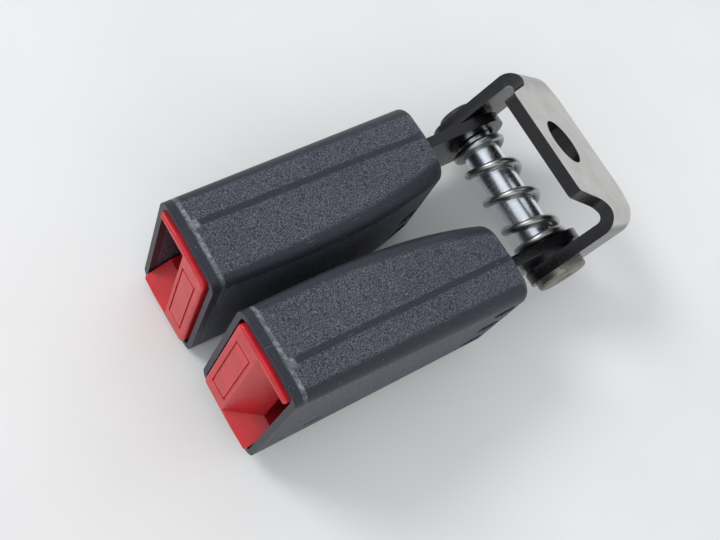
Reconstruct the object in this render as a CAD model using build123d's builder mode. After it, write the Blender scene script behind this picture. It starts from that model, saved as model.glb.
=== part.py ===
from build123d import *
from math import cos, pi, radians, sin
import os

os.makedirs("parts", exist_ok=True)

# Twin rear seat belt buckle: two end-release buckles swinging on one pin
# in a bolted U bracket, with a coil spring between their straps.
# X runs from the buttons to the bracket, Y along the pin, Z up from the table.

# Pose as it lies on the table
pin_height = 15.3
right_pitch = 6.6
left_pitch = 3.4
bracket_angle = 51.0

# Pin, straps, washers and sleeve, stacked along the pin
pin_radius = 3.5
pin_running_gap = 0.07
strap_centre = 18.34
strap_thickness = 2.8
stack_gap = 0.04
washer_thickness = 1.0
washer_radius = 7.2
sleeve_radius = 4.8
sleeve_bore_gap = 0.06
head_radius = 6.8
head_thickness = 2.3
clench_radius = 5.6
clench_thickness = 1.9
head_dimple_radius = 2.4
head_dimple_depth = 0.5

# Return spring round the sleeve
spring_wire = 2.2
spring_outer_radius = 7.2
spring_open_turns = 3
spring_closed_pitch = 2.35

# Mounting bracket, bent from one plate
bracket_thickness = 3.2
bracket_reach = 22.2
bend_radius = 5.2
base_top = 22.1
base_bottom = 10.7
base_top_half = 14.0
arm_half = 8.0
arm_top_at_bend = 7.2
base_corner = 7.0
notch_radius = 6.0
bolt_hole_radius = 6.25
bolt_hole_height = 9.8
sheared_edge = 0.35

# Housing mouldings
housing_length = 67.0
tail_reach = 22.5
mouth_width = 41.2
tail_width = 33.4
inward_mouth = 14.9
inward_tail = 9.2
outward_mouth = 7.6
outward_tail = 9.2
wall = 1.5
tail_wall = 2.0
side_draft = 0.6
mouth_corner = 3.0
tail_corner = 4.5
rim_round = 0.6
tail_round = 1.6
post_radius = 1.9
peg_radius = 1.0
peg_gap = 0.1
vent_length = 6.2
vent_width = 4.6
vent_pitch = 9.4
vent_to_tail = 2.4
window_length = 6.4
window_width = 5.4
window_to_tail = 2.6
window_low = 2.6
window_high = 10.6
slit_length = 5.2
slit_width = 1.2
slit_from_mouth = 14.0

# Tongue channel
tongue_width = 24.6
tongue_side_gap = 0.6
channel_rib = 1.2

# Press button
button_proud = 1.2
button_depth = 13.0
button_travel = 5.0
button_side_gap = 0.6
button_top_gap = 0.8
button_floor_gap = 0.4
button_round = 0.7
panel_length = 25.2
panel_height = 5.6
panel_from_edge = 1.8
panel_line = 0.5
panel_line_depth = 0.35
scoop_start = 4.3
scoop_end = -1.9
scoop_depth = 6.6
arm_edge = 1.5
button_shell = 1.6
leg_thickness = 2.0
ramp_clearance = 0.35

# Frame plate
frame_half = 15.4
frame_wall = 2.4
frame_wall_top = 6.2
frame_clearance = 0.6
front_bar = 6.0
strap_half = 9.0
eye_radius = 9.0
window_half = 8.4
locating_peg_radius = 2.2

# Latch plate
latch_thickness = 2.4
latch_lift = 0.35
latch_pivot_x = -38.0
latch_half = 9.2
latch_ear_radius = 1.25
latch_ear_gap = 0.06
claw_length = 4.0
claw_inner = 2.6
claw_width = 4.8
claw_reach = 3.8
claw_gap = 0.6
latch_angle = 9.2
tab_length = 2.5
tab_half = 12.4
tab_height = 2.5

# Ejector
ejector_length = 7.0
ejector_height = 3.8
ejector_travel = 8.0
ejector_side_gap = 0.5
ejector_gap = 0.35

# Small springs
small_wire = 0.6
ejector_spring_radius = 1.7
button_spring_radius = 1.7
latch_spring_radius = 2.4

# Derived stations along the buckle, measured from the pin axis
mouth_x = -(tail_reach + housing_length)
tail_x = -tail_reach
button_front = mouth_x - button_proud
button_back = button_front + button_depth
frame_front = button_back + button_travel + frame_clearance
claw_front = frame_front + front_bar + 1.3
ejector_front = claw_front + claw_length + claw_gap
ejector_back = ejector_front + ejector_length
spring_stop = ejector_back + ejector_travel + 14.0
plate_out = -strap_thickness / 2
plate_in = strap_thickness / 2
latch_low = plate_in + latch_lift
latch_high = latch_low + latch_thickness
pivot_y = latch_low + latch_thickness / 2
channel_half = tongue_width / 2 + tongue_side_gap
pin_x = -mouth_x
arm_inner = strap_centre + strap_thickness / 2 + washer_thickness + 2 * stack_gap
arm_outer = arm_inner + bracket_thickness
strap_inner = strap_centre - strap_thickness / 2
sleeve_half = strap_inner - stack_gap
leg_outer = frame_half - frame_wall - 0.4
leg_inner = leg_outer - leg_thickness
tab_bottom = latch_high - 0.4
ramp_slope = (latch_pivot_x - claw_front + 1.2) * radians(latch_angle) / button_travel
tab_front = claw_front - 1.2


def share(x):
    # how far along the housing a station lies, 0 at the mouth and 1 at the tail
    return (x - mouth_x) / housing_length


def half_width(x):
    return (mouth_width + (tail_width - mouth_width) * share(x)) / 2


def inward(x):
    return inward_mouth + (inward_tail - inward_mouth) * share(x)


def outward(x):
    return outward_mouth + (outward_tail - outward_mouth) * share(x)


def corner(x):
    return mouth_corner + (tail_corner - mouth_corner) * share(x)


def across(x):
    # cross-section plane: sketch x is the buckle's Y, sketch y is its Z
    return Plane(origin=(x, 0, 0), x_dir=(0, 1, 0), z_dir=(1, 0, 0))


def wide_face(y):
    # plane parallel to the wide faces: sketch x along the buckle, sketch y across it
    return Plane(origin=(0, y, 0), x_dir=(1, 0, 0), z_dir=(0, -1, 0))


def half_section(x, side, inset, lift=0.0):
    # one half of the housing's section, from the parting plane to its wide face
    w = half_width(x) - inset
    d = (inward(x) if side > 0 else outward(x)) - inset
    with BuildSketch(across(x)) as section:
        with BuildLine():
            Polyline((-side * lift, -w), (-side * lift, w), (side * d, w - side_draft),
                     (side * d, side_draft - w), close=True)
        make_face()
        r = max(corner(x) - inset, 0.8)
        ends = section.vertices().sort_by(Axis.X)
        fillet(ends[-2:] if side > 0 else ends[:2], r)
    return section.sketch


def coil(start, end, radius, wire, turns, direction):
    # open coil of square wire between two points on its axis
    length = (end - start).length
    with BuildPart() as spring:
        with BuildLine() as path:
            Helix(pitch=(length - wire) / turns, height=length - wire, radius=radius - wire / 2,
                  center=start + direction * (wire / 2), direction=direction)
        with BuildSketch(Plane(origin=path.line @ 0, x_dir=direction, z_dir=path.line % 0)):
            Rectangle(wire, wire)
        sweep(is_frenet=True)
    return spring.part


placed = {}


def place(part, name, location):
    placed[name] = part.moved(location)


# Outer cover: the half moulding on the tongue side, with the channel ribs
rib_start = button_back + button_travel + 0.5
rib_end = latch_pivot_x + 2
post_x = tail_x - tail_wall - 3.8
post_z = strap_half + post_radius + 1.5
with BuildPart() as outer_cover:
    for x in (mouth_x, tail_x):
        add(half_section(x, -1, 0.0))
    loft()
    tail_face = outer_cover.faces().sort_by(Axis.X)[-1]
    fillet(tail_face.edges().sort_by(Axis.Y)[:-1], tail_round)
    for x in (mouth_x - 1, tail_x - tail_wall):
        add(half_section(x, -1, wall, 0.5))
    loft(mode=Mode.SUBTRACT)
    # ribs that guide the tongue on both sides
    with BuildSketch(wide_face(plate_out - ejector_gap)):
        with Locations(*[((rib_start + rib_end) / 2, k * (channel_half + channel_rib / 2)) for k in (-1, 1)]):
            Rectangle(rib_end - rib_start, channel_rib)
    extrude(amount=outward((rib_start + rib_end) / 2) - wall / 2 + plate_out - ejector_gap)
    # stop rib behind the ejector spring
    with BuildSketch(wide_face(plate_out - ejector_gap)):
        with Locations((spring_stop + 1.0, 0)):
            Rectangle(2.0, 9.0)
    extrude(amount=outward(spring_stop) - wall / 2 + plate_out - ejector_gap)
    # peg that locates the frame plate, and the two posts of the closing pegs
    with BuildSketch(wide_face(plate_in - 0.2)):
        with Locations((post_x, 0)):
            Circle(locating_peg_radius)
    extrude(amount=outward(post_x) - wall / 2 + plate_in - 0.2)
    with BuildSketch(wide_face(0)):
        with Locations(*[(post_x, k * post_z) for k in (-1, 1)]):
            Circle(post_radius)
            Circle(peg_radius + peg_gap, mode=Mode.SUBTRACT)
    extrude(amount=outward(post_x) - wall / 2)
    # way out for the strap through the tail wall
    with BuildSketch(across(tail_x + 1)):
        Rectangle(strap_thickness + 0.6, 2 * strap_half + 0.8)
    extrude(amount=-tail_wall - 2, mode=Mode.SUBTRACT)
    # oblong vents near the tail and the small slit behind the mouth
    with BuildSketch(wide_face(-outward(tail_x) + wall + 0.6)):
        with Locations(*[(tail_x - vent_to_tail - vent_length / 2, k * vent_pitch) for k in (-1, 0, 1)]):
            SlotOverall(vent_length, vent_width)
        with Locations((mouth_x + slit_from_mouth, -mouth_width / 4)):
            SlotOverall(slit_length, slit_width)
    extrude(amount=wall + 2, mode=Mode.SUBTRACT)

# Inner cover: the half moulding on the button side
spring_z = frame_half - 0.8
spring_y = frame_wall_top + button_spring_radius + 0.6
spring_post_x = button_back + 20.0
with BuildPart() as inner_cover:
    for x in (mouth_x, tail_x):
        add(half_section(x, 1, 0.0))
    loft()
    tail_face = inner_cover.faces().sort_by(Axis.X)[-1]
    fillet(tail_face.edges().sort_by(Axis.Y)[1:], tail_round)
    for x in (mouth_x - 1, tail_x - tail_wall):
        add(half_section(x, 1, wall, 0.5))
    loft(mode=Mode.SUBTRACT)
    # stops of the two button springs
    with BuildSketch(across(spring_post_x)):
        for k in (-1, 1):
            with Locations(((frame_wall_top + 0.4 + inward(spring_post_x) - wall / 2) / 2, k * spring_z)):
                Rectangle(inward(spring_post_x) - wall / 2 - frame_wall_top - 0.4, 2.8)
    extrude(amount=1.6)
    # posts that close on the outer cover, with their pegs
    with BuildSketch(wide_face(0)):
        with Locations(*[(post_x, k * post_z) for k in (-1, 1)]):
            Circle(post_radius)
    extrude(amount=-inward(post_x) + wall / 2)
    with BuildSketch(wide_face(0)):
        with Locations(*[(post_x, k * post_z) for k in (-1, 1)]):
            Circle(peg_radius)
    extrude(amount=4.0)
    # way out for the strap through the tail wall
    with BuildSketch(across(tail_x + 1)):
        Rectangle(strap_thickness + 0.6, 2 * strap_half + 0.8)
    extrude(amount=-tail_wall - 2, mode=Mode.SUBTRACT)
    # two windows side by side near the tail
    with BuildSketch(wide_face(inward(tail_x) - wall - 1.0)):
        with Locations(*[(tail_x - window_to_tail - window_length / 2, z) for z in (window_low, window_high)]):
            SlotOverall(window_length, window_width)
    extrude(amount=-wall - 3, mode=Mode.SUBTRACT)

# Press button: proud press panel, scoop down to the tongue slot, side arms and two ramped legs
button_half = mouth_width / 2 - wall - button_side_gap
button_top = inward_mouth - wall - button_top_gap
button_low = -(outward_mouth - wall - button_floor_gap)


def button_section(x):
    w = button_half - (half_width(mouth_x) - half_width(x))
    top = button_top - (inward_mouth - inward(x))
    with BuildSketch(across(x)) as section:
        with BuildLine():
            Polyline((button_low, side_draft - w), (0, -w), (top, side_draft - w),
                     (top, w - side_draft), (0, w), (button_low, w - side_draft), close=True)
        make_face()
        fillet(section.vertices().sort_by(Axis.X)[-2:], mouth_corner - wall)
    return section.sketch


with BuildPart() as press_button:
    for x in (button_front, button_back):
        add(button_section(x))
    loft()
    # rounded front edge
    fillet(press_button.faces().sort_by(Axis.X)[0].edges(), button_round)
    # scoop and funnel down to the slot
    with BuildSketch(across(button_front - 0.01)):
        with Locations(((scoop_start + button_low - 2) / 2, 0)):
            Rectangle(scoop_start - button_low + 2, 2 * (button_half - arm_edge))
    with BuildSketch(across(button_front + scoop_depth)):
        with Locations(((scoop_end + button_low - 2) / 2, 0)):
            Rectangle(scoop_end - button_low + 2, 2 * channel_half)
    loft(mode=Mode.SUBTRACT)
    # straight slot behind the funnel
    with BuildSketch(across(button_front + scoop_depth - 0.01)):
        with Locations(((scoop_end + button_low - 2) / 2, 0)):
            Rectangle(scoop_end - button_low + 2, 2 * channel_half)
    extrude(amount=button_depth, mode=Mode.SUBTRACT)
    # hollow back, walls kept all round
    with BuildSketch(across(button_back)):
        hollow_low = scoop_end + button_shell
        hollow_high = button_top - (inward_mouth - inward(button_back)) - button_shell
        with Locations(((hollow_low + hollow_high) / 2, 0)):
            RectangleRounded(hollow_high - hollow_low, 2 * (leg_inner - button_shell), 1.2)
    extrude(amount=-(button_depth - scoop_depth), mode=Mode.SUBTRACT)
    with BuildSketch(across(button_back)):
        hollow_low = scoop_start + button_shell
        with Locations(((hollow_low + hollow_high) / 2, 0)):
            RectangleRounded(hollow_high - hollow_low, 2 * (leg_inner - button_shell), 0.8)
    extrude(amount=-(button_depth - 2.2), mode=Mode.SUBTRACT)
    # engraved outline on the press panel
    with BuildSketch(across(button_front)):
        with Locations((button_top - panel_from_edge - panel_height / 2, 0)):
            Rectangle(panel_height, panel_length)
            Rectangle(panel_height - 2 * panel_line, panel_length - 2 * panel_line, mode=Mode.SUBTRACT)
    extrude(amount=panel_line_depth, mode=Mode.SUBTRACT)
    # legs with ramps that lift the latch plate
    ramp_top = tab_bottom - ramp_clearance
    ramp_rise = ramp_slope * button_travel
    leg_low = plate_in + latch_lift
    leg_tip = tab_front + (ramp_top - leg_low) / ramp_slope
    leg_high = ramp_top + ramp_rise
    with BuildSketch(Plane.XY.offset(leg_inner)):
        with BuildLine():
            Polyline((button_back - 1.5, leg_low), (leg_tip, leg_low), (tab_front - button_travel, leg_high),
                     (button_back - 1.5, leg_high), close=True)
        make_face()
    extrude(amount=leg_thickness)
    with BuildSketch(Plane.XY.offset(-leg_inner)):
        with BuildLine():
            Polyline((button_back - 1.5, leg_low), (leg_tip, leg_low), (tab_front - button_travel, leg_high),
                     (button_back - 1.5, leg_high), close=True)
        make_face()
    extrude(amount=-leg_thickness)
    # studs that centre the button springs
    with BuildSketch(across(button_back - 0.5)):
        with Locations(*[(spring_y, k * spring_z) for k in (-1, 1)]):
            Circle(button_spring_radius - small_wire - 0.15)
    extrude(amount=2.0)

# Frame plate and strap: one steel stamping with two folded walls and the eye for the pin
wall_end = latch_pivot_x + 3.5
with BuildPart() as frame_strap:
    with BuildSketch(wide_face(plate_in)):
        with BuildLine():
            Polyline((frame_front, frame_half - 2.0), (frame_front + 2.0, frame_half), (wall_end, frame_half),
                     (wall_end + 4.0, strap_half), (0, strap_half), (0, -strap_half),
                     (wall_end + 4.0, -strap_half), (wall_end, -frame_half), (frame_front + 2.0, -frame_half),
                     (frame_front, 2.0 - frame_half), close=True)
        make_face()
        Circle(eye_radius)
    extrude(amount=strap_thickness)
    # folded side walls
    with BuildSketch(wide_face(plate_out)):
        with Locations(*[((frame_front + 2.0 + wall_end) / 2, k * (frame_half - frame_wall / 2)) for k in (-1, 1)]):
            Rectangle(wall_end - frame_front - 2.0, frame_wall)
    extrude(amount=-(frame_wall_top - plate_out))
    # claw window, locating hole, eye and pivot holes
    with BuildSketch(wide_face(plate_in + 1)):
        window_back = ejector_front + 0.8
        window_front = frame_front + front_bar
        with Locations(((window_front + window_back) / 2, 0)):
            RectangleRounded(window_back - window_front, 2 * window_half, 0.8)
        with Locations((post_x, 0)):
            Circle(locating_peg_radius + peg_gap)
        Circle(pin_radius + pin_running_gap)
    extrude(amount=strap_thickness + 2, mode=Mode.SUBTRACT)
    with BuildSketch(Plane.XY.offset(-frame_half - 1)):
        with Locations((latch_pivot_x, pivot_y)):
            Circle(latch_ear_radius + latch_ear_gap)
    extrude(amount=2 * frame_half + 2, mode=Mode.SUBTRACT)
    # rounded upper corners of the walls
    corners = frame_strap.edges().filter_by(Axis.Z).filter_by_position(Axis.Y, frame_wall_top - 0.01, frame_wall_top + 0.01)
    fillet(corners, 1.5)

# Latch plate: pivots at the rear, two claws drop through the plate into the tongue's window
with BuildPart() as latch_plate:
    with BuildSketch(wide_face(latch_high)):
        with BuildLine():
            Polyline((tab_front, latch_half), (latch_pivot_x, latch_half), (latch_pivot_x + 1.6, latch_half - 1.6),
                     (latch_pivot_x + 1.6, 1.6 - latch_half), (latch_pivot_x, -latch_half), (tab_front, -latch_half), close=True)
        make_face()
    extrude(amount=latch_thickness)
    # lightening hole of the stamping
    with BuildSketch(wide_face(latch_high + 1)):
        with Locations(((latch_pivot_x + claw_front + claw_length) / 2 + 4.5, 0)):
            SlotOverall(7.0, 3.4)
    extrude(amount=latch_thickness + 2, mode=Mode.SUBTRACT)
    # round ears in the frame walls
    with BuildSketch(Plane.XY.offset(-frame_half + 0.3)):
        with Locations((latch_pivot_x, pivot_y)):
            Circle(latch_ear_radius)
    extrude(amount=2 * frame_half - 0.6)
    # claws with a ramp for the tongue's nose
    for k in (-1, 1):
        with BuildSketch(Plane.XY.offset(claw_inner if k > 0 else -claw_inner)):
            with BuildLine():
                Polyline((claw_front, latch_low + 1), (claw_front, plate_out - 0.4),
                         (claw_front + claw_length * 0.55, plate_out - claw_reach),
                         (claw_front + claw_length, plate_out - claw_reach),
                         (claw_front + claw_length, latch_low + 1), close=True)
            make_face()
        extrude(amount=k * claw_width)
        # raised tab that rides on the button's ramp
        with BuildSketch(Plane.XY.offset(k * (latch_half - 3.0))):
            with Locations((tab_front + tab_length / 2, tab_bottom + tab_height / 2)):
                RectangleRounded(tab_length, tab_height, 0.5)
        extrude(amount=k * (tab_half - latch_half + 3.0))

# Ejector: moulded slider that pushes the tongue out
eject_y = plate_out - ejector_gap - ejector_height / 2
with BuildPart() as ejector:
    with BuildSketch(across(ejector_front)):
        with Locations((eject_y, 0)):
            Rectangle(ejector_height, 2 * (channel_half - ejector_side_gap))
    extrude(amount=ejector_length)
    fillet(ejector.edges().filter_by(Axis.Y), 1.2)
    # side pockets of the moulding and the seat of its spring
    with BuildSketch(across(ejector_back)):
        with Locations(*[(eject_y, k * 7.6) for k in (-1, 1)]):
            Rectangle(ejector_height - 1.6, 5.6)
    extrude(amount=-ejector_length + 1.6, mode=Mode.SUBTRACT)
    with BuildSketch(across(ejector_back - 0.5)):
        with Locations((eject_y, 0)):
            Circle(ejector_spring_radius - small_wire - 0.15)
    extrude(amount=2.5)

along = Vector(1, 0, 0)
ejector_spring = coil(Vector(ejector_back, eject_y, 0), Vector(spring_stop, eject_y, 0),
                      ejector_spring_radius, small_wire, 7, along)
button_springs = Compound([coil(Vector(button_back, spring_y, k * spring_z), Vector(spring_post_x, spring_y, k * spring_z),
                                button_spring_radius, small_wire, 6, along) for k in (-1, 1)])
latch_spring_x = (latch_pivot_x + claw_front + claw_length) / 2 - 3.5
latch_spring = coil(Vector(latch_spring_x, latch_high, 0),
                    Vector(latch_spring_x, inward(latch_spring_x) - wall, 0),
                    latch_spring_radius, small_wire, 2.5, Vector(0, 1, 0))

# Both buckles are the same set of pieces: the left one is turned over about its own length
right_place = Location((pin_x, -strap_centre, pin_height), (0, right_pitch, 0))
left_place = Location((pin_x, strap_centre, pin_height), (0, left_pitch, 0)) * Location((0, 0, 0), (180, 0, 0))
pieces = {"outer_cover": outer_cover.part, "inner_cover": inner_cover.part, "press_button": press_button.part,
          "frame_strap": frame_strap.part, "latch_plate": latch_plate.part, "ejector": ejector.part,
          "ejector_spring": ejector_spring, "button_springs": button_springs, "latch_spring": latch_spring}
for name, piece in pieces.items():
    place(piece, "right_" + name, right_place)
    place(piece, "left_" + name, left_place)

# Mounting bracket, drawn with X away from the pin, Y along it and Z up the base
bracket_place = Location((pin_x, 0, pin_height), (0, -bracket_angle, 0))
with BuildSketch(Plane.XY.offset(-base_bottom)) as inside:
    with Locations(((bracket_reach - bracket_thickness - arm_half - 2) / 2, 0)):
        Rectangle(bracket_reach - bracket_thickness + arm_half + 2, 2 * arm_inner)
    fillet(inside.vertices().sort_by(Axis.X)[-2:], bend_radius - bracket_thickness)
with BuildPart() as bracket:
    # bent plate seen along the bends
    with BuildSketch(Plane.XY.offset(-base_bottom)) as strip:
        with Locations(((bracket_reach - arm_half - 1) / 2, 0)):
            Rectangle(bracket_reach + arm_half + 1, 2 * arm_outer)
        fillet(strip.vertices().sort_by(Axis.X)[-2:], bend_radius)
    extrude(amount=base_bottom + base_top)
    add(inside.sketch)
    extrude(amount=base_bottom + base_top, mode=Mode.SUBTRACT)
    # outline of the arms, seen along the pin
    with BuildSketch(Plane.XZ.offset(-arm_outer - 1)):
        Circle(arm_half)
        with BuildLine():
            Polyline((0, arm_half), (bracket_reach - bend_radius, arm_top_at_bend), (bracket_reach - bend_radius, base_top + 1),
                     (bracket_reach + 1, base_top + 1), (bracket_reach + 1, -base_bottom - 1),
                     (bracket_reach - bend_radius, -base_bottom - 1), (bracket_reach - bend_radius, -arm_half),
                     (0, -arm_half), close=True)
        make_face()
    extrude(amount=2 * arm_outer + 2, mode=Mode.INTERSECT)
    # outline of the base, seen square on: raised middle, rounded notches and lower corners
    with BuildSketch(Plane.YZ.offset(-arm_half - 2)) as front:
        with BuildLine():
            Polyline((-arm_outer - 1, arm_top_at_bend), (-base_top_half - 4.0, arm_top_at_bend),
                     (-base_top_half, base_top), (base_top_half, base_top),
                     (base_top_half + 4.0, arm_top_at_bend), (arm_outer + 1, arm_top_at_bend),
                     (arm_outer + 1, -arm_half), (arm_inner, -arm_half), (arm_inner - 6.0, -base_bottom),
                     (6.0 - arm_inner, -base_bottom), (-arm_inner, -arm_half), (-arm_outer - 1, -arm_half), close=True)
        make_face()
        notch = [v for v in front.vertices() if abs(v.Y - arm_top_at_bend) < 0.01 and abs(v.X) < arm_outer]
        fillet(notch, notch_radius)
        fillet(front.vertices().group_by(Axis.Y)[-1], 1.2)
        lower = [v for v in front.vertices() if v.Y < -arm_half + 0.01 and abs(v.X) < arm_outer]
        fillet(lower, 5.0)
    extrude(amount=bracket_reach + arm_half + 4, mode=Mode.INTERSECT)
    # anchor bolt hole in the base and pin holes in the arms
    with BuildSketch(Plane.YZ.offset(bracket_reach + 1)):
        with Locations((0, bolt_hole_height)):
            Circle(bolt_hole_radius)
    extrude(amount=-bracket_thickness - 2, mode=Mode.SUBTRACT)
    with BuildSketch(Plane.XZ.offset(-arm_outer - 1)):
        Circle(pin_radius + sleeve_bore_gap)
    extrude(amount=2 * arm_outer + 2, mode=Mode.SUBTRACT)

# Rivet pin: round head on the right, clenched head on the left
with BuildPart() as rivet_pin:
    with BuildSketch(Plane.XZ.offset(-arm_outer)):
        Circle(pin_radius)
    extrude(amount=2 * arm_outer)
    with BuildSketch(Plane.XZ.offset(arm_outer)):
        Circle(head_radius)
    extrude(amount=head_thickness)
    fillet(rivet_pin.faces().sort_by(Axis.Y)[0].edges(), 0.9)
    with BuildSketch(Plane.XZ.offset(arm_outer + head_thickness)):
        Circle(head_dimple_radius)
    extrude(amount=-head_dimple_depth, taper=30, mode=Mode.SUBTRACT)
    with BuildSketch(Plane.XZ.offset(-arm_outer)):
        Circle(clench_radius)
    extrude(amount=-clench_thickness, taper=20)
    fillet(rivet_pin.faces().sort_by(Axis.Y)[-1].edges(), 0.7)

# Spacer sleeve between the straps
with BuildPart() as spacer_sleeve:
    with BuildSketch(Plane.XZ.offset(-sleeve_half)):
        Circle(sleeve_radius)
        Circle(pin_radius + sleeve_bore_gap, mode=Mode.SUBTRACT)
    extrude(amount=2 * sleeve_half)
    chamfer(spacer_sleeve.edges().filter_by(GeomType.CIRCLE).sort_by(SortBy.RADIUS)[-2:], 0.3)

# Washers between straps and arms
with BuildPart() as friction_washers:
    for k in (-1, 1):
        start = k * (strap_centre + strap_thickness / 2 + stack_gap)
        with BuildSketch(Plane.XZ.offset(-start)):
            Circle(washer_radius)
            Circle(pin_radius + sleeve_bore_gap, mode=Mode.SUBTRACT)
        extrude(amount=-k * washer_thickness)

# Return spring: three open turns between one closed turn at each strap
spring_radius = spring_outer_radius - spring_wire / 2
spring_half = sleeve_half - spring_wire / 2
points_per_turn = 12


def coil_point(turn):
    # the place along the pin rises slowly in the closed end turns and fast in the open ones
    open_pitch = 2 * (spring_half - spring_closed_pitch) / spring_open_turns
    if turn < 1:
        y = spring_closed_pitch * turn - spring_half
    elif turn > spring_open_turns + 1:
        y = spring_half - spring_closed_pitch * (spring_open_turns + 2 - turn)
    else:
        y = spring_closed_pitch - spring_half + open_pitch * (turn - 1)
    return (spring_radius * cos(2 * pi * turn), y, spring_radius * sin(2 * pi * turn))


with BuildPart() as return_spring:
    with BuildLine() as path:
        Spline(*[coil_point(n / points_per_turn) for n in range(points_per_turn * (spring_open_turns + 2) + 1)])
    with BuildSketch(Plane(origin=path.line @ 0, z_dir=path.line % 0)):
        Circle(spring_wire / 2)
    sweep(is_frenet=True)

pin_place = Location((pin_x, 0, pin_height))
place(bracket.part, "bracket", bracket_place)
place(rivet_pin.part, "rivet_pin", pin_place)
place(spacer_sleeve.part, "spacer_sleeve", pin_place)
place(friction_washers.part, "friction_washers", pin_place)
place(return_spring.part, "return_spring", pin_place)

# The origin is the middle of the footprint, on the table
boxes = [piece.bounding_box() for piece in placed.values()]
low = [min(tuple(box.min)[i] for box in boxes) for i in range(3)]
high = [max(tuple(box.max)[i] for box in boxes) for i in range(3)]
footprint = Location((-(low[0] + high[0]) / 2, -(low[1] + high[1]) / 2, -low[2]))
print("footprint shift", [round(v, 4) for v in footprint.position])
for name, piece in placed.items():
    piece = piece.moved(footprint)
    piece.label = name
    export_step(piece, "parts/" + name + ".step")
    print(name, round(piece.volume, 1), [round(v, 2) for v in piece.bounding_box().min],
          [round(v, 2) for v in piece.bounding_box().max])
print("whole size", [round(h - l, 2) for l, h in zip(low, high)])
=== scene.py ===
# %% [markdown]
# # A twin seat belt buckle, dressed for the camera
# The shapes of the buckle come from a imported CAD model, which is loaded here as a fixed frame.
# This lesson bends the straight mouldings to their real swell and then works on the finish:
# grained charcoal plastic, satin red buttons, black gloss paint on sheared steel, bright zinc and
# drawn spring wire. Each finish is a small graph of shader nodes that reads the object's own
# coordinates, so it stays put when a part moves.

# %% Load the frame
import math

import bmesh
import bpy
import numpy as np
from mathutils import Euler, Matrix, Vector


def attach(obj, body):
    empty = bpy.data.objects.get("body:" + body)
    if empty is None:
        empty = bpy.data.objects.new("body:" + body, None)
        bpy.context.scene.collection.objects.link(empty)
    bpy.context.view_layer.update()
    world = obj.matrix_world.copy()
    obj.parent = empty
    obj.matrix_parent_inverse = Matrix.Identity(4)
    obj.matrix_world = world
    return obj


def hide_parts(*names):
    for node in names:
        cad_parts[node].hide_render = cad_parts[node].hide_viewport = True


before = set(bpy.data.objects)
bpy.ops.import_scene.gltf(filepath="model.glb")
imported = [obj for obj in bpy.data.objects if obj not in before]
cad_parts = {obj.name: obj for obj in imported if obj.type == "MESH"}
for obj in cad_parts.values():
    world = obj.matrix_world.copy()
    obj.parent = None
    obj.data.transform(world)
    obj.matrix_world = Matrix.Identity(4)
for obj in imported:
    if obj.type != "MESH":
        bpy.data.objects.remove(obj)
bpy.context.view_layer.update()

# %% [markdown]
# Every size below is in millimetres and is turned into metres where a mesh or a node needs it.
# The two buckles hang on one pin. Each has a frame of its own: x runs from the mouth to the pin,
# y points to the button side and z across the width. The right buckle is pitched a little more
# than the left one, because both rest with their mouths on the table.

# %% Where the two buckles are
MM = 0.001
PIN = (34.933, 15.334)
STRAP_CENTRE = 18.34
SIDES = {
    "right": dict(at=(PIN[0], -STRAP_CENTRE, PIN[1]), turn=(0.0, math.radians(6.6), 0.0)),
    "left": dict(at=(PIN[0], STRAP_CENTRE, PIN[1]), turn=(math.pi, math.radians(3.4), 0.0)),
}
MOUTH_X = -89.5
TAIL_X = -22.5
print("pin centre in mm:", PIN)

# %% [markdown]
# ## Camera
# The photograph looks down steeply on the table with the camera rolled, so that the buckles run
# from the lower left to the upper right. A look-at constraint would lose the roll. The three axes
# of the camera are worked out by hand from azimuth, elevation and roll, in radians, and go into
# one matrix. The focal length was found in pixels of the picture and is turned into millimetres.


# %% Camera
def camera_axes(azimuth, elevation, roll):
    """The look direction comes from two angles. Right is level, up completes the frame, and
    both are then turned about the look direction by the roll."""
    ahead = Vector((math.sin(azimuth) * math.cos(elevation),
                    math.cos(azimuth) * math.cos(elevation), -math.sin(elevation)))
    level = ahead.cross(Vector((0, 0, 1))).normalized()
    above = level.cross(ahead)
    right = math.cos(roll) * level + math.sin(roll) * above
    up = -math.sin(roll) * level + math.cos(roll) * above
    return right, up, ahead


AZIMUTH, ELEVATION, ROLL = 1.07618948, 1.12094553, 0.5690006
LOOKED_AT = Vector((-12.488, -0.719, 15.749))
CAMERA_DISTANCE = 243.61
SENSOR_WIDTH = 36
FOCAL_PIXELS, PICTURE_WIDTH = 1002.88, 720

right, up, ahead = camera_axes(AZIMUTH, ELEVATION, ROLL)
camera_data = bpy.data.cameras.new("camera")
camera_data.sensor_width = SENSOR_WIDTH
camera_data.lens = SENSOR_WIDTH * FOCAL_PIXELS / PICTURE_WIDTH
camera = bpy.data.objects.new("camera", camera_data)
bpy.context.scene.collection.objects.link(camera)
place = Matrix((right, up, -ahead)).transposed().to_4x4()
place.translation = LOOKED_AT * MM - ahead * CAMERA_DISTANCE * MM
camera.matrix_world = place
bpy.context.scene.camera = camera
print("camera at", [round(v, 4) for v in place.translation])

# %% [markdown]
# ## Floor and light
# The buckle lies on a plain white table under a broad window. One large soft lamp stands at the
# upper left of the picture, a weaker one fills from the camera side, and a pale world lights the
# rest. The floor is one plane, and it is no part of the buckle.


# %% A soft studio
LIT_POINT = Vector((0, 0, 0.01))
SKY_COLOUR = (0.93, 0.96, 1.0, 1)
SKY_STRENGTH = 0.78
FLOOR_HALF = 3.0


def round_lamp(name, spot, size, power):
    """A round soft lamp that stands at a spot in metres and shines at the buckles."""
    data = bpy.data.lights.new(name, "AREA")
    data.shape = "DISK"
    data.size = size
    data.energy = power
    lamp = bpy.data.objects.new(name, data)
    bpy.context.scene.collection.objects.link(lamp)
    lamp.location = spot
    lamp.rotation_euler = (LIT_POINT - Vector(spot)).to_track_quat("-Z", "Y").to_euler()


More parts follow.
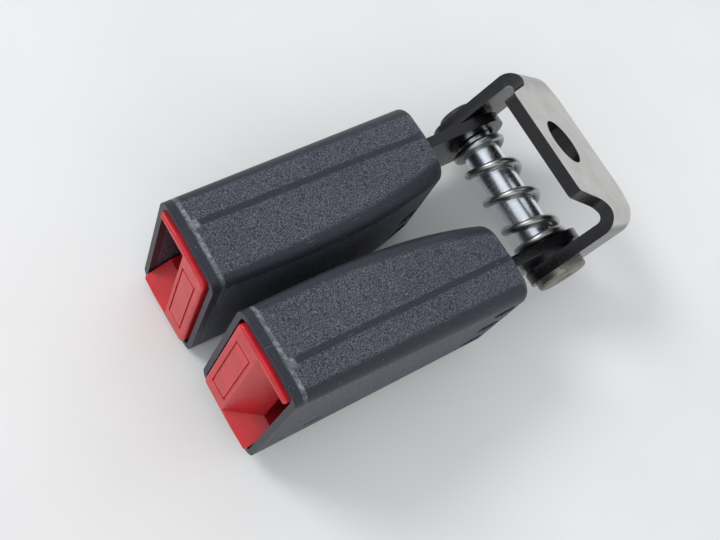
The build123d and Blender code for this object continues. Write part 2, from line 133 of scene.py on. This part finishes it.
round_lamp("window_lamp", (-0.62, 1.05, 1.20), size=0.62, power=9.4)
round_lamp("fill_lamp", (-0.90, -0.60, 1.30), size=1.2, power=2.6)

world = bpy.data.worlds.new("room")
bpy.context.scene.world = world
world.use_nodes = True
sky = world.node_tree.nodes["Background"]
sky.inputs["Color"].default_value = SKY_COLOUR
sky.inputs["Strength"].default_value = SKY_STRENGTH

floor_mesh = bpy.data.meshes.new("floor")
round_trip = (-1, -1), (1, -1), (1, 1), (-1, 1)
floor_corners = [(FLOOR_HALF * i, FLOOR_HALF * j, 0) for i, j in round_trip]
floor_mesh.from_pydata(floor_corners, [], [(0, 1, 2, 3)])
floor = bpy.data.objects.new("floor", floor_mesh)
bpy.context.scene.collection.objects.link(floor)
bpy.context.scene.view_settings.view_transform = "Standard"
print("studio ready")

# %% [markdown]
# ## A small language for finishes
# Wiring nodes by hand hides the idea behind a finish. The class Signal wraps one socket, so that
# sums and products of signals add their own Math nodes, and a mask reads like a formula. The
# reflected operators let a plain number stand first, as in 1 - mask.


# %% Signals
class Signal:
    """One output socket. Arithmetic on it adds a Math node to its finish."""

    def __init__(self, finish, socket):
        self.finish = finish
        self.socket = socket

    def math(self, operation, *others):
        sockets = {0: self}
        for number, other in enumerate(others, start=1):
            sockets[number] = other
        return self.finish.node("ShaderNodeMath", {"operation": operation}, sockets)

    def reflected(self, operation, other):
        return self.finish.node("ShaderNodeMath", {"operation": operation}, {0: other, 1: self})

    def __add__(self, other):
        return self.math("ADD", other)

    def __radd__(self, other):
        return self.math("ADD", other)

    def __sub__(self, other):
        return self.math("SUBTRACT", other)

    def __rsub__(self, other):
        return self.reflected("SUBTRACT", other)

    def __mul__(self, other):
        return self.math("MULTIPLY", other)

    def __rmul__(self, other):
        return self.math("MULTIPLY", other)

    def __abs__(self):
        return self.math("ABSOLUTE")

    def most(self, other):
        return self.math("MAXIMUM", other)


print("signals ready")

# %% [markdown]
# The class Finish holds one material. Its method node makes any node from a type, settings and
# sockets, and the methods below it are the few kinds that the finishes need: coordinates, noises,
# smooth steps, mixes, a bump and the direction that a surface faces. Everything is measured in
# millimetres, so a noise of scale 2 has about two grains to the millimetre.


# %% Finishes
class Finish:
    """One procedural material: its nodes, its shader and the helpers that add to it."""

    def __init__(self, name, **constants):
        self.material = bpy.data.materials.new(name)
        self.material.use_nodes = True
        self.tree = self.material.node_tree
        self.shader = self.tree.nodes["Principled BSDF"]
        for key, value in constants.items():
            self.shader.inputs[key.replace("_", " ")].default_value = value

    def node(self, kind, settings=None, sockets=None, out=0):
        """Makes a node, sets it, links signals or writes values, and returns one output."""
        made = self.tree.nodes.new(kind)
        for key, value in (settings or {}).items():
            setattr(made, key, value)
        for key, value in (sockets or {}).items():
            if isinstance(value, Signal):
                self.tree.links.new(value.socket, made.inputs[key])
            else:
                made.inputs[key].default_value = value
        return Signal(self, made.outputs[out])

    def feed(self, key, signal):
        self.tree.links.new(signal.socket, self.shader.inputs[key])

    def coordinates(self, side=None):
        """Object coordinates in millimetres, from the frame's origin or in a buckle's own frame."""
        base = self.node("ShaderNodeTexCoord", out="Object")
        spot = SIDES[side] if side else dict(at=(0, 0, 0), turn=(0, 0, 0))
        return self.node("ShaderNodeMapping", {"vector_type": "TEXTURE"},
                         {"Vector": base, "Location": [v * MM for v in spot["at"]],
                          "Rotation": spot["turn"], "Scale": (MM, MM, MM)})

    def parts(self, vector):
        made = self.tree.nodes.new("ShaderNodeSeparateXYZ")
        self.tree.links.new(vector.socket, made.inputs[0])
        return [Signal(self, made.outputs[axis]) for axis in range(3)]

    def stretch(self, vector, scale, turn=(0, 0, 0)):
        return self.node("ShaderNodeMapping", {"vector_type": "POINT"},
                         {"Vector": vector, "Scale": scale, "Rotation": turn})

    def noise(self, vector, scale, detail=2.0, rough=0.5):
        return self.node("ShaderNodeTexNoise", {},
                         {"Vector": vector, "Scale": scale, "Detail": detail, "Roughness": rough})

    def cells(self, vector, scale, feature="F1"):
        return self.node("ShaderNodeTexVoronoi", {"feature": feature},
                         {"Vector": vector, "Scale": scale})

    def ramp(self, value, low, high, start=0.0, end=1.0):
        """A smooth step: start below low, end above high."""
        return self.node("ShaderNodeMapRange", {"interpolation_type": "SMOOTHSTEP"},
                         {"Value": value, "From Min": low, "From Max": high,
                          "To Min": start, "To Max": end})

    def mix(self, mask, first, second):
        first = first if isinstance(first, Signal) else (*first, 1.0)
        second = second if isinstance(second, Signal) else (*second, 1.0)
        return self.node("ShaderNodeMix", {"data_type": "RGBA"},
                         {0: mask, 6: first, 7: second}, out=2)

    def bump(self, height, depth_mm, strength=1.0):
        """Turns a height of 0 to 1 into a normal, depth_mm from its lowest to its highest."""
        made = self.node("ShaderNodeBump", {},
                         {"Height": height, "Distance": depth_mm * MM, "Strength": strength})
        self.feed("Normal", made)

    def facing(self, direction):
        """How far the surface faces a direction of the object: 1 towards it, -1 away."""
        normal = self.node("ShaderNodeNewGeometry", out="Normal")
        turned = self.node("ShaderNodeVectorTransform",
                           {"vector_type": "NORMAL", "convert_from": "WORLD",
                            "convert_to": "OBJECT"}, {"Vector": normal})
        return self.node("ShaderNodeVectorMath", {"operation": "DOT_PRODUCT"},
                         {0: turned, 1: direction}, out="Value")


print("finish kit ready")

# %% [markdown]
# ## The table
# The table top is white laminate. It is nearly plain: a broad, very faint unevenness keeps it from
# looking like a flat colour, and it is rough enough to take soft shadows.

# %% White table
LAMINATE_WHITES = (0.80, 0.795, 0.78), (0.845, 0.84, 0.83)

table = Finish("table_laminate", Roughness=0.62)
unevenness = table.noise(table.coordinates(), 0.012, 3.0)
table.feed("Base Color", table.mix(table.ramp(unevenness, 0.3, 0.7), *LAMINATE_WHITES))
floor_mesh.materials.append(table.material)
print("table finish:", table.material.name)

# %% [markdown]
# ## Bowed mouldings
# On the real buckle the button side swells towards the middle and then drops to the tail, and the
# two halves meet in a shallow groove. The CAD mouldings are straight lofts. So each one is copied
# here, cut across at even stations, and its points are moved away from the parting plane. The
# factor depends only on the station, so a wall keeps its straight lines across and its posts and
# pegs stay in line. The mesh could be modelled afresh, but a copy keeps each vent and rib.


# %% The swell of a moulding
BODY_LENGTH = 67.0
BELLY = (14.9, 1.9, 2.6, -8.8)
STRAIGHT = (14.9, -5.7)
OUTWARD_SWELL = 1.08
STATIONS = np.arange(-87.0, -23.0, 3.0)


def to_buckle(side):
    """The rotation and the origin, in mm, that take a point of the frame to a buckle's frame."""
    turn = np.array(Euler(SIDES[side]["turn"]).to_matrix())
    return turn.T, np.array(SIDES[side]["at"])


def swell(station, depth):
    """The new depth is the old one times a factor. On the button side the factor is a cubic of
    the share of the length over the straight taper, and on the other side it is a constant."""
    share = np.clip((station - MOUTH_X) / BODY_LENGTH, 0.0, 1.0)
    belly = sum(c * share ** power for power, c in enumerate(BELLY))
    straight = STRAIGHT[0] + STRAIGHT[1] * share
    return depth * np.where(depth > 0, belly / straight, OUTWARD_SWELL)


def outward_only(station, depth):
    """The side away from the button grows by the same factor as the cover, the rest stays."""
    return np.where(depth < 0, depth * OUTWARD_SWELL, depth)


def reshaped_copy(node, side, stations, shape):
    """A mesh copied from a CAD node and cut across at each station. A point at (x, y, z) of the
    buckle's frame goes to (x, shape(x, y), z)."""
    work = bmesh.new()
    work.from_mesh(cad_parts[node].data)
    bmesh.ops.remove_doubles(work, verts=work.verts, dist=2e-6)
    turn, origin = to_buckle(side)
    along = Vector(turn[0])
    for station in stations:
        cut = Vector(origin * MM) + along * (station * MM)
        bmesh.ops.bisect_plane(work, geom=work.verts[:] + work.edges[:] + work.faces[:],
                               plane_co=cut, plane_no=along, dist=1e-7)
    bmesh.ops.dissolve_degenerate(work, dist=1e-6, edges=work.edges)
    mesh = bpy.data.meshes.new(node + "_moulding")
    work.to_mesh(mesh)
    work.free()
    points = np.empty(len(mesh.vertices) * 3)
    mesh.vertices.foreach_get("co", points)
    local = (points.reshape(-1, 3) / MM - origin) @ turn.T
    local[:, 1] = shape(local[:, 0], local[:, 1])
    mesh.vertices.foreach_set("co", ((local @ turn + origin) * MM).ravel())
    return mesh


print("the button side stands out most at", round(float(np.max(
    swell(STATIONS, np.polyval(STRAIGHT[::-1], (STATIONS - MOUTH_X) / BODY_LENGTH)))), 2), "mm")

# %% [markdown]
# Each copy stands for its CAD node and rides on the same body. The covers also get a bevel along
# their moulded edges. It catches the light as the real rounded edges do, and it opens the groove
# where the two halves meet. The buttons have their rounded edges from the CAD already.


# %% Copies that stand for the mouldings
COVER_EDGE = 0.35
COVER_SHARP, BUTTON_SHARP = 32, 14
BEVEL_FROM = 50
pieces = {}


def stand_in(node, mesh, body, sharp):
    """Shades the mesh smooth below the sharp angle in degrees and lets it stand for a node."""
    mesh.shade_smooth()
    mesh.set_sharp_from_angle(angle=math.radians(sharp))
    piece = bpy.data.objects.new(node + "_moulding", mesh)
    bpy.context.scene.collection.objects.link(piece)
    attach(piece, body)
    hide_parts(node)
    pieces[node] = piece
    return piece


def round_edges(piece, width):
    bevel = piece.modifiers.new("edge", "BEVEL")
    bevel.width = width * MM
    bevel.segments = 2
    bevel.limit_method = "ANGLE"
    bevel.angle_limit = math.radians(BEVEL_FROM)
    bevel.harden_normals = True


for side in SIDES:
    for cover in (side + "_outer_cover", side + "_inner_cover"):
        copy = reshaped_copy(cover, side, STATIONS, swell)
        piece = stand_in(cover, copy, side + "_buckle", COVER_SHARP)
        round_edges(piece, COVER_EDGE)
    button = side + "_press_button"
    copy = reshaped_copy(button, side, (), outward_only)
    stand_in(button, copy, side + "_button", BUTTON_SHARP)
print("faces before the bevel:", {name: len(p.data.polygons) for name, p in pieces.items()})

# %% [markdown]
# ## Charcoal cover plastic
# The covers are moulded in charcoal nylon with an eroded grain, which breaks the light into fine
# specks. The lip of the mouth, the rounded shoulders and the parting line are smooth, because the
# tool is polished there. The parting line is darker in its own colour. The lip and the rounded
# shoulders are painted darker: painted shade on the lip, a painted dark reflection on the
# shoulders. A thin pale line behind the lip is a painted highlight on its rounded edge, brightest
# where the parting line starts, and wear has greyed the tail. The grain could be displaced
# geometry, but at a fifth of a millimetre a bump does the same with far fewer faces. All masks
# are written in the buckle's own frame, so both buckles share one recipe.


# %% Cover plastic
# The navy black paints shade on the lip and a dark reflection on the rounded shoulders, and it is
# also the dark colour of the parting line.
SHADE_AND_JOINT_BLACK = (0.013, 0.015, 0.024)
PIT_BLACK = (0.008, 0.010, 0.016)
CHARCOAL = (0.036, 0.040, 0.056), (0.050, 0.053, 0.070)
SPECK_GREY = (0.170, 0.178, 0.222)
# The worn grey paints the highlight behind the lip, and it also greys the worn tail.
HIGHLIGHT_AND_WEAR_GREY = (0.30, 0.305, 0.33)
SCRATCH_GREY = (0.30, 0.305, 0.32)
LIP_END = 2.1
# Where the painted highlight runs behind the lip and where it is brightest, in mm from the mouth.
RIM_HIGHLIGHT_AT = 2.7
HIGHLIGHT_START_AT = 3.2
GRAIN_DEPTH = 0.20


def cover_finish(side):
    f = Finish("cover_plastic_" + side, Roughness=0.5, Specular_IOR_Level=0.42)
    at = f.coordinates(side)
    x, y, z = f.parts(at)
    from_mouth = x - MOUTH_X
    turn, origin = to_buckle(side)
    grain = f.noise(at, 2.9, 3.0, 0.62)
    fine = f.noise(at, 4.8, 2.0, 0.6)
    pits = f.cells(at, 1.9, "SMOOTH_F1")
    broad = f.noise(at, 0.085, 2.0)
    # A patchy noise that breaks up the painted highlight behind the lip and the wear at the tail.
    painted_sheen_and_wear = f.ramp(f.noise(at, 0.7, 4.0, 0.7), 0.42, 0.68)

    parting = (1 - f.ramp(abs(y - 0.30 * broad), 0.55, 1.0)) * f.ramp(abs(z), 14, 16)
    # The shoulder mask paints a dark reflection on the rounded shoulders, and the lip mask paints
    # shade on the lip of the mouth.
    shoulder_dark_reflection = f.ramp(abs(f.facing(turn[1])) * abs(f.facing(turn[2])), 0.12, 0.34)
    lip_shade = 1 - f.ramp(from_mouth, LIP_END - 0.4, LIP_END + 0.4)
    # The smooth mask is where the tool is polished, and in the colour it also paints shade on the
    # lip and the shoulders and darkens the parting line.
    smooth = shoulder_dark_reflection.most(parting).most(lip_shade)

    edge_on = f.ramp(abs(z), 17.0, 19.6)
    # Painted highlight: a thin pale line behind the lip along the narrow sides, brighter where the
    # parting line starts.
    rim_highlight = (1 - f.ramp(abs(from_mouth - RIM_HIGHLIGHT_AT), 0.25, 0.75)) * edge_on
    start = (1 - f.ramp(abs(from_mouth - HIGHLIGHT_START_AT), 0.6, 1.6)) * (1 - f.ramp(abs(y), 0.5, 1.5))
    tail = f.ramp(x - TAIL_X, -2.6, -0.6)
    # The painted highlight and the real wear at the tail share one mask.
    wear_and_highlight = (rim_highlight * (0.20 + 0.80 * painted_sheen_and_wear)).most(tail * painted_sheen_and_wear * 0.25)
    wear_and_highlight = wear_and_highlight.most(start * edge_on * (0.4 + 0.6 * painted_sheen_and_wear))

    scratch_space = f.stretch(at, (0.16, 2.4, 1.7), (0.35, 0.2, 0.5))
    scratches = f.ramp(f.noise(scratch_space, 1.0, 2.0), 0.68, 0.75) * f.ramp(broad, 0.48, 0.62)
    dust = f.ramp(f.cells(at, 0.72), 0.15, 0.05) * f.ramp(f.noise(at, 0.35, 1.0), 0.50, 0.64)

    charcoal = f.mix(f.ramp(broad, 0.3, 0.7), *CHARCOAL)
    dark = f.mix(f.ramp(grain, 0.38, 0.48), PIT_BLACK, charcoal)
    speckled = f.mix(f.ramp(0.6 * grain + 0.4 * fine, 0.47, 0.66), dark, SPECK_GREY)
    # Painted shade: the lip and the shoulders turn darker here, and the parting line takes its own
    # dark colour.
    banded = f.mix(smooth * 0.88, speckled, SHADE_AND_JOINT_BLACK)
    # Painted highlight behind the lip, and wear on the tail.
    worn_and_highlit = f.mix(wear_and_highlight * 0.9, banded, HIGHLIGHT_AND_WEAR_GREY)
    marked = f.mix((scratches * 0.30).most(dust * 0.45), worn_and_highlit, SCRATCH_GREY)
    f.feed("Base Color", marked)
    f.feed("Roughness", 0.50 + 0.14 * grain - 0.12 * smooth - 0.12 * wear_and_highlight)
    grained = (0.7 * grain + 0.5 * pits) * (1 - 0.85 * smooth) * (1 - 0.5 * wear_and_highlight)
    f.bump(grained, GRAIN_DEPTH, 0.9)
    return f.material


def dress(node, material):
    """Puts one material on every slot of a CAD node, or of the piece that stands for it."""
    mesh = pieces.get(node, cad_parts[node]).data
    if not mesh.materials:
        mesh.materials.append(material)
    for slot in range(len(mesh.materials)):
        mesh.materials[slot] = material


for side in SIDES:
    plastic = cover_finish(side)
    dress(side + "_outer_cover", plastic)
    dress(side + "_inner_cover", plastic)
print("covers dressed")

# %% [markdown]
# ## Red button plastic
# The press buttons are satin red ABS. Light goes a little way into it and comes back redder, and a
# thin sheen sits on top. The faces are finely etched, and grime dulls them in patches. The red is
# painted darker down the scoop as painted shade. A faint mottling keeps it from being one flat
# tone.


# %% Button plastic
REDS = (0.500, 0.0060, 0.0125), (0.590, 0.0085, 0.0165)
# Dark red for grime in patches, and for painted shade down the scoop.
GRIME_AND_SHADE_RED = (0.160, 0.008, 0.012)
GLOW_DEPTHS = (0.6 * MM, 0.1 * MM, 0.06 * MM)
SCOOP_FROM, SCOOP_TO = 1.0, 9.0


def button_finish(side):
    f = Finish("button_plastic_" + side, Coat_Weight=0.12, Coat_Roughness=0.25,
               Subsurface_Weight=0.12, Subsurface_Radius=GLOW_DEPTHS, Subsurface_Scale=1.0)
    at = f.coordinates(side)
    etch = f.noise(at, 3.4, 3.0, 0.6)
    broad = f.noise(at, 0.22, 3.0)
    soiled = f.ramp(f.noise(at, 0.5, 4.0, 0.65), 0.55, 0.8)
    # Painted shade: the red darkens down the scoop.
    scoop_shade = f.ramp(f.parts(at)[0], MOUTH_X + SCOOP_FROM, MOUTH_X + SCOOP_TO)
    red = f.mix(f.ramp(broad, 0.35, 0.65), *REDS)
    f.feed("Base Color", f.mix((soiled * 0.14).most(scoop_shade * 0.25), red, GRIME_AND_SHADE_RED))
    f.feed("Roughness", 0.34 + 0.12 * etch + 0.10 * soiled)
    f.bump(etch, 0.05, 0.5)
    return f.material


for side in SIDES:
    dress(side + "_press_button", button_finish(side))
print("buttons dressed")

# %% [markdown]
# ## Black gloss paint
# The straps are stamped steel, dipped in black gloss paint. Paint flows before it sets, so its
# surface has a slight orange peel, and it is thin on the sheared edges, where bright metal shows
# in small torn spots. Two noises do this: a soft one for the peel and a coarse one for the tears.


# %% Painted straps
BLACK_PAINT = (0.0050, 0.0052, 0.0060)
DUSTY_PAINT = (0.030, 0.028, 0.026)
BARE_STEEL = (0.42, 0.41, 0.40)


def strap_finish(side):
    f = Finish("strap_paint_" + side, Coat_Weight=0.25, Coat_Roughness=0.12,
               Specular_IOR_Level=0.35)
    at = f.coordinates(side)
    peel = f.noise(at, 0.9, 1.0)
    torn = f.noise(f.stretch(at, (1.0, 0.5, 1.0)), 1.5, 4.0, 0.65)
    edge = 1 - f.ramp(abs(f.parts(at)[1]), 0.9, 1.35)
    chips = edge * f.ramp(torn, 0.68, 0.76)
    dusty = f.ramp(f.noise(at, 0.8, 4.0, 0.7), 0.55, 0.8)
    paint = f.mix(dusty * 0.25, BLACK_PAINT, DUSTY_PAINT)
    f.feed("Base Color", f.mix(chips * 0.6, paint, BARE_STEEL))
    f.feed("Metallic", chips * 0.7)
    f.feed("Roughness", 0.24 + 0.22 * dusty + 0.10 * chips)
    f.bump(peel + 0.8 * edge * torn, 0.12, 0.55)
    return f.material


for side in SIDES:
    dress(side + "_frame_strap", strap_finish(side))
print("straps dressed")

# %% [markdown]
# ## The bracket
# The bracket is bent from thick strip. Its inside and its cut edges are black gloss paint. The
# outside of the base is painted a pale warm grey with a metallic sheen, a painted reflection of the
# white table. The cut edge of the base is rough: the punch sheared it, and it glints in a few torn
# spots. The mask for the painted reflection is how far the surface faces away from the sleeve, so
# it follows the bends without naming a single face. The painted reflection gets weaker towards the
# left arm.


# %% Bracket finish
BASE_ANGLE = math.radians(51.0)
OUTWARD = (math.cos(BASE_ANGLE), 0.0, math.sin(BASE_ANGLE))
ALONG = (-math.sin(BASE_ANGLE), 0.0, math.cos(BASE_ANGLE))
# The painted reflection fades out between these two values of y, in mm, towards the left arm.
REFLECTION_FADE_Y = 14.0, 24.0
BRACKET_BLACK = (0.0052, 0.0052, 0.0060)
RUST_BROWN = (0.040, 0.032, 0.026)
# Pale warm greys of the painted reflection of the white table.
PAINTED_REFLECTION_GREYS = (0.49, 0.475, 0.445), (0.56, 0.545, 0.515)
GLINT_STEEL = (0.55, 0.55, 0.56)


def bracket_finish():
    f = Finish("bracket_steel", Coat_Weight=0.20, Coat_Roughness=0.16, Specular_IOR_Level=0.35)
    at = f.coordinates()
    peel = f.noise(at, 0.7, 1.0)
    tears = f.noise(f.stretch(at, (0.9, 0.55, 0.9)), 1.3, 5.0, 0.7)
    cloud = f.noise(at, 0.16, 3.0, 0.6)
    # Painted reflection: pale on the faces that turn away from the sleeve, weaker towards the left
    # arm, and broken by a cloud of tone.
    out = f.ramp(f.facing(OUTWARD), 0.30, 0.62)
    far = f.ramp(f.parts(at)[1], *REFLECTION_FADE_Y, 1.0, 0.25)
    painted_sheen_and_wear = out * far * f.ramp(cloud, 0.05, 0.45, 0.72, 1.0)
    cut = f.ramp(f.facing(ALONG), 0.55, 0.85)
    glint = cut * f.ramp(tears, 0.68, 0.76)
    rust = f.ramp(f.noise(at, 0.42, 4.0, 0.7), 0.62, 0.78) * (1 - painted_sheen_and_wear)
    paint = f.mix(rust * 0.20, BRACKET_BLACK, RUST_BROWN)
    pale = f.mix(f.ramp(cloud, 0.35, 0.7), *PAINTED_REFLECTION_GREYS)
    f.feed("Base Color", f.mix(glint * 0.55, f.mix(painted_sheen_and_wear, paint, pale), GLINT_STEEL))
    f.feed("Metallic", (painted_sheen_and_wear * 0.55).most(glint * 0.8))
    f.feed("Roughness", 0.26 + 0.14 * painted_sheen_and_wear - 0.06 * cut)
    f.bump(0.6 * peel + 1.2 * cut * tears + 0.15 * painted_sheen_and_wear * tears, 0.22, 0.6)
    return f.material


dress("bracket", bracket_finish())
print("bracket dressed")

# %% [markdown]
# ## Zinc, wire and rivet
# The sleeve is bright zinc with a blue cast, and its highlight is broken by fine rings. The return
# spring is drawn wire, greyer and rougher. The rivet is dull yellowed zinc, and its far end was
# dipped in black paint with the bracket. The washers are dark phosphated steel. They differ only
# in colour, rings and stain, so one recipe with a few values serves all of them.


# %% Plated metals
DIPPED_BLACK = (0.006, 0.006, 0.007)
RIVET_PAINTED_FROM = 20.0


def plated_finish(name, bright, dull, shine, rings, bloom, painted_from=None):
    """Metal whose roughness follows fine rings round the Y axis and whose colour is stained.
    Past painted_from, in mm along Y, it is black paint."""
    f = Finish(name, Metallic=1.0)
    at = f.coordinates()
    lines = f.noise(f.stretch(at, (0.15, rings, 0.15)), 1.0, 3.0, 0.6)
    cloud = f.noise(at, 0.5, 4.0, 0.65)
    fine = f.noise(at, 3.0, 3.0)
    stain = f.ramp(cloud, 0.5, 0.75, 0.0, bloom)
    metal = f.mix(stain, f.mix(lines, dull, bright), dull)
    if painted_from is not None:
        painted = f.ramp(f.parts(at)[1], painted_from, painted_from + 0.4)
        metal = f.mix(painted, metal, DIPPED_BLACK)
        f.feed("Metallic", 1 - painted)
    f.feed("Base Color", metal)
    f.feed("Roughness", shine + 0.10 * lines + 0.25 * stain)
    f.bump(0.5 * lines + 0.5 * fine, 0.03, 0.5)
    return f.material


dress("spacer_sleeve", plated_finish(
    "sleeve_zinc", bright=(0.92, 0.95, 0.99), dull=(0.70, 0.76, 0.83),
    shine=0.20, rings=4.0, bloom=0.3))
dress("return_spring", plated_finish(
    "spring_wire", bright=(0.56, 0.56, 0.55), dull=(0.26, 0.26, 0.255),
    shine=0.26, rings=1.2, bloom=0.5))
dress("rivet_pin", plated_finish(
    "rivet_zinc", bright=(0.31, 0.295, 0.25), dull=(0.15, 0.14, 0.11),
    shine=0.34, rings=1.0, bloom=0.8, painted_from=RIVET_PAINTED_FROM))
dress("friction_washers", plated_finish(
    "washer_steel", bright=(0.085, 0.085, 0.090), dull=(0.035, 0.035, 0.038),
    shine=0.34, rings=1.0, bloom=0.6))
print("metals dressed")

# %% [markdown]
# ## What works inside
# The latch plates, ejectors and small springs are seen through the slots and windows. They get
# plain workshop finishes: phosphated steel, dark grey nylon and bright wire.


# %% Inner workings
NYLON_GREYS = (0.030, 0.030, 0.034), (0.055, 0.055, 0.060)


def ejector_finish(side):
    f = Finish("ejector_nylon_" + side)
    at = f.coordinates(side)
    mould = f.noise(at, 0.9, 3.0)
    f.feed("Base Color", f.mix(mould, *NYLON_GREYS))
    f.feed("Roughness", 0.40 + 0.15 * mould)
    f.bump(mould, 0.05, 0.4)
    return f.material


latch_steel = plated_finish("latch_steel", bright=(0.30, 0.30, 0.31), dull=(0.15, 0.15, 0.155),
                            shine=0.35, rings=1.4, bloom=0.5)
small_wire = plated_finish("small_spring_wire", bright=(0.60, 0.60, 0.60),
                           dull=(0.35, 0.35, 0.35), shine=0.22, rings=1.0, bloom=0.3)
for side in SIDES:
    dress(side + "_latch_plate", latch_steel)
    dress(side + "_ejector", ejector_finish(side))
    for spring in ("_ejector_spring", "_button_springs", "_latch_spring"):
        dress(side + spring, small_wire)
print("inner workings dressed")
